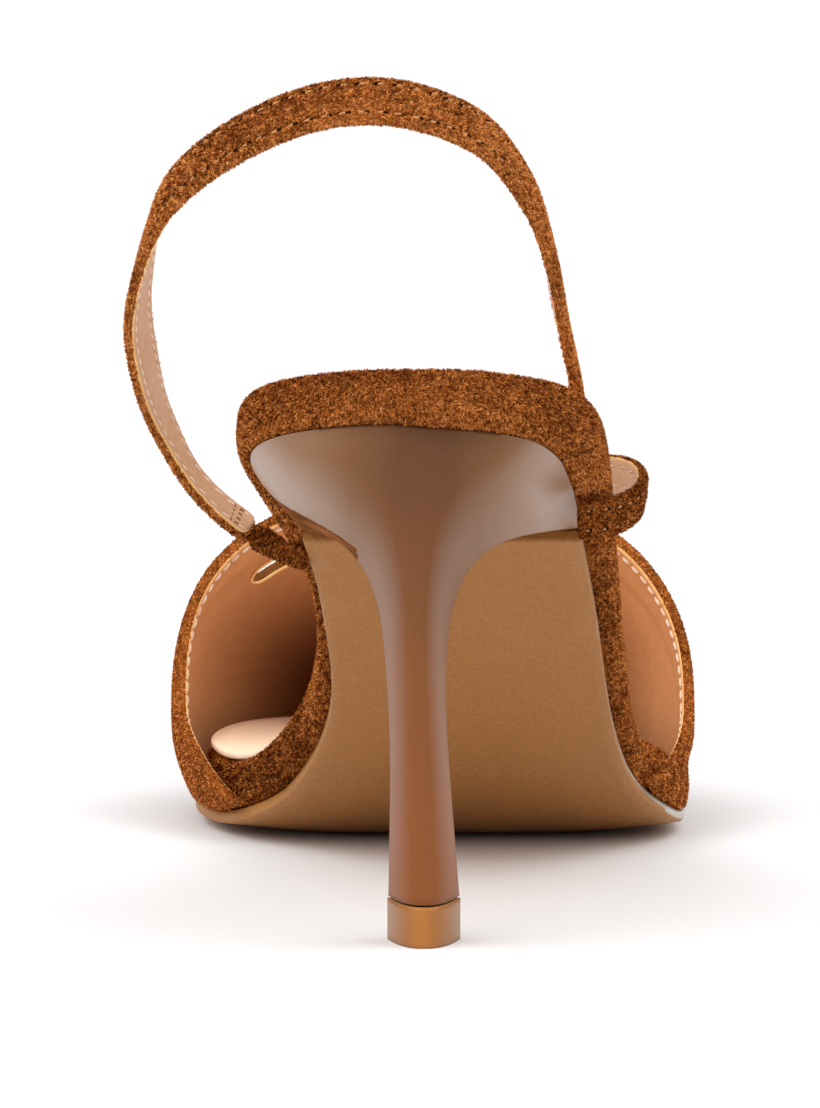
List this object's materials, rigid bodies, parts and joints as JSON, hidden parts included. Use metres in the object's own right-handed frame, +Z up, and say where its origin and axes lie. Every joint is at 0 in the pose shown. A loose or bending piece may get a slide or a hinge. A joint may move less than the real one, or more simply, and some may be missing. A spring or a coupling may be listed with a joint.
{
  "type": "stiletto slingback shoe",
  "caption": "Right-foot suede slingback with a pointed closed toe, open waist, slotted instep and slim lacquered stiletto heel.",
  "frame": {"origin": "middle of the heel tip's lower face, on the floor", "axes": "+X to the outer side of the foot, +Y to the toe, +Z up"},
  "size_m": [0.0883, 0.251, 0.13],
  "materials": {
    "suede": "tan brown suede with a short soft nap",
    "lacquer": "glossy nude taupe lacquer",
    "top_lift": "amber wear plastic, half gloss",
    "sole_leather": "smooth tan sole leather with a satin seal",
    "lining": "smooth peach lining leather, matt"
  },
  "bodies": {
    "root": {"heel_tip": "top_lift", "heel": "lacquer", "outsole": "sole_leather", "footbed": "suede", "sock": "lining", "vamp": "suede", "sling_strap": "suede", "strap_tab": "suede"}
  },
  "joints": []
}
